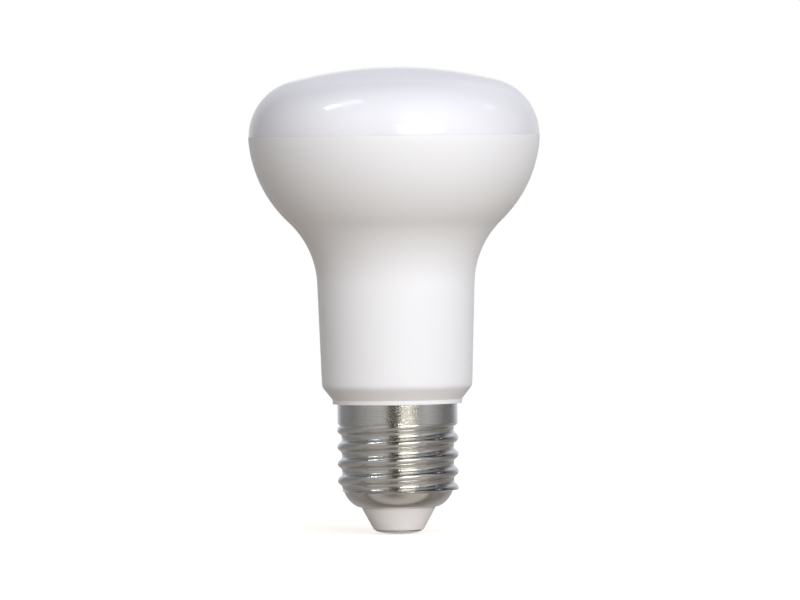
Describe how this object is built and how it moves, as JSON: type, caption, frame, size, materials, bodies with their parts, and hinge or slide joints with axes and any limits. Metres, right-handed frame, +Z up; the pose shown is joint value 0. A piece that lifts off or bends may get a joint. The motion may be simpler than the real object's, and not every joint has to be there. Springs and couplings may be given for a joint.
{
  "type": "reflector bulb",
  "caption": "Reflector lamp with a shallow opal dome, a white funnel-shaped housing, a metal screw cap with a round thread, an insulator and a centre contact.",
  "frame": {"origin": "tip of the centre contact, on the lamp's axis", "axes": "+Z up the lamp's axis from the centre contact to the face of the dome; +X towards the thread's first full crest"},
  "size_m": [0.063, 0.063, 0.101],
  "materials": {
    "opal_dome": "glossy opal polycarbonate, milky, with a faint cool tint",
    "white_housing": "satin white moulded plastic",
    "plated_shell": "nickel plated rolled sheet, softly polished and finely grained",
    "white_insulator": "off-white moulded insulator, satin",
    "contact_metal": "dull plated metal"
  },
  "bodies": {
    "root": {"diffuser": "opal_dome", "housing": "white_housing", "screw_shell": "plated_shell", "insulator": "white_insulator", "centre_contact": "contact_metal"}
  },
  "joints": []
}
